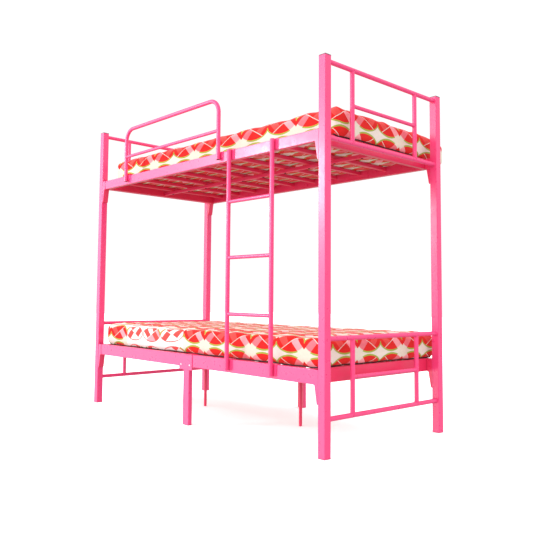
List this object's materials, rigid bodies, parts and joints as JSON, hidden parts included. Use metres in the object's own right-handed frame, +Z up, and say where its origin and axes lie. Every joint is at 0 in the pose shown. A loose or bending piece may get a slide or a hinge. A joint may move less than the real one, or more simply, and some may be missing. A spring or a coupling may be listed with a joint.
{
  "type": "bunk bed",
  "caption": "Metal bunk bed of square posts and tube end frames, with slatted decks, a hook-on ladder, a guard rail over the upper side and two loose printed mattresses.",
  "frame": {"origin": "middle of the overall outline, on the floor", "axes": "+X along the bed towards the ladder's end, -Y towards the ladder side, +Z up"},
  "size_m": [1.95, 1.0662, 1.75],
  "materials": {
    "pink_powder_coat": "gloss powder coat",
    "deck_powder_coat": "gloss powder coat",
    "pink_plastic": "moulded plastic",
    "printed_fabric": "woven cotton print"
  },
  "bodies": {
    "frame": {"centre_leg_left": "pink_powder_coat", "centre_leg_right": "pink_powder_coat", "lower_deck_slats_left": "deck_powder_coat", "lower_deck_slats_right": "deck_powder_coat", "lower_left_end_bottom_tube": "pink_powder_coat", "lower_left_end_middle_bar": "pink_powder_coat", "lower_left_end_top_tube": "pink_powder_coat", "lower_left_end_upright_back": "pink_powder_coat", "lower_left_end_upright_front": "pink_powder_coat", "lower_right_end_bottom_tube": "pink_powder_coat", "lower_right_end_middle_bar": "pink_powder_coat", "lower_right_end_top_tube": "pink_powder_coat", "lower_right_end_upright_back": "pink_powder_coat", "lower_right_end_upright_front": "pink_powder_coat", "lower_side_rail_back_left": "deck_powder_coat", "lower_side_rail_back_right": "deck_powder_coat", "lower_side_rail_front_left": "pink_powder_coat", "lower_side_rail_front_right": "pink_powder_coat", "mid_leg_back": "pink_powder_coat", "mid_leg_front": "pink_powder_coat", "post_back_left": "pink_powder_coat", "post_back_right": "pink_powder_coat", "post_cap_back_left": "pink_plastic", "post_cap_back_right": "pink_plastic", "post_cap_front_left": "pink_plastic", "post_cap_front_right": "pink_plastic", "post_foot_back_left": "pink_plastic", "post_foot_back_right": "pink_plastic", "post_foot_front_left": "pink_plastic", "post_foot_front_right": "pink_plastic", "post_front_left": "pink_powder_coat", "post_front_right": "pink_powder_coat", "upper_deck_slats": "deck_powder_coat", "upper_left_end_bottom_tube": "pink_powder_coat", "upper_left_end_middle_bar": "pink_powder_coat", "upper_left_end_top_tube": "pink_powder_coat", "upper_left_end_upright_back": "pink_powder_coat", "upper_left_end_upright_front": "pink_powder_coat", "upper_right_end_bottom_tube": "pink_powder_coat", "upper_right_end_middle_bar": "pink_powder_coat", "upper_right_end_top_tube": "pink_powder_coat", "upper_right_end_upright_back": "pink_powder_coat", "upper_right_end_upright_front": "pink_powder_coat", "upper_side_rail_back": "deck_powder_coat", "upper_side_rail_front": "pink_powder_coat"},
    "ladder": {"ladder_lower_hook_left": "pink_powder_coat", "ladder_lower_hook_right": "pink_powder_coat", "ladder_rung_1": "pink_powder_coat", "ladder_rung_2": "pink_powder_coat", "ladder_rung_3": "pink_powder_coat", "ladder_stile_left": "pink_powder_coat", "ladder_stile_right": "pink_powder_coat", "ladder_upper_hook_left": "pink_powder_coat", "ladder_upper_hook_right": "pink_powder_coat"},
    "guard_rail": {"guard_hook_left": "pink_powder_coat", "guard_hook_right": "pink_powder_coat", "guard_hoop": "pink_powder_coat", "guard_middle_bar": "pink_powder_coat"},
    "upper_mattress": {"upper_mattress": "printed_fabric"},
    "lower_mattress": {"lower_mattress": "printed_fabric"}
  },
  "joints": [
    {"name": "ladder_lift", "type": "slide", "parent": "frame", "child": "ladder", "axis": [0, 0, 1], "range_m": [0, 0.08]},
    {"name": "guard_lift", "type": "slide", "parent": "frame", "child": "guard_rail", "axis": [0, 0, 1], "range_m": [0, 0.08]},
    {"name": "upper_mattress_lift", "type": "slide", "parent": "frame", "child": "upper_mattress", "axis": [0, 0, 1], "range_m": [0, 0.33]},
    {"name": "lower_mattress_lift", "type": "slide", "parent": "frame", "child": "lower_mattress", "axis": [0, 0, 1], "range_m": [0, 0.16]}
  ]
}
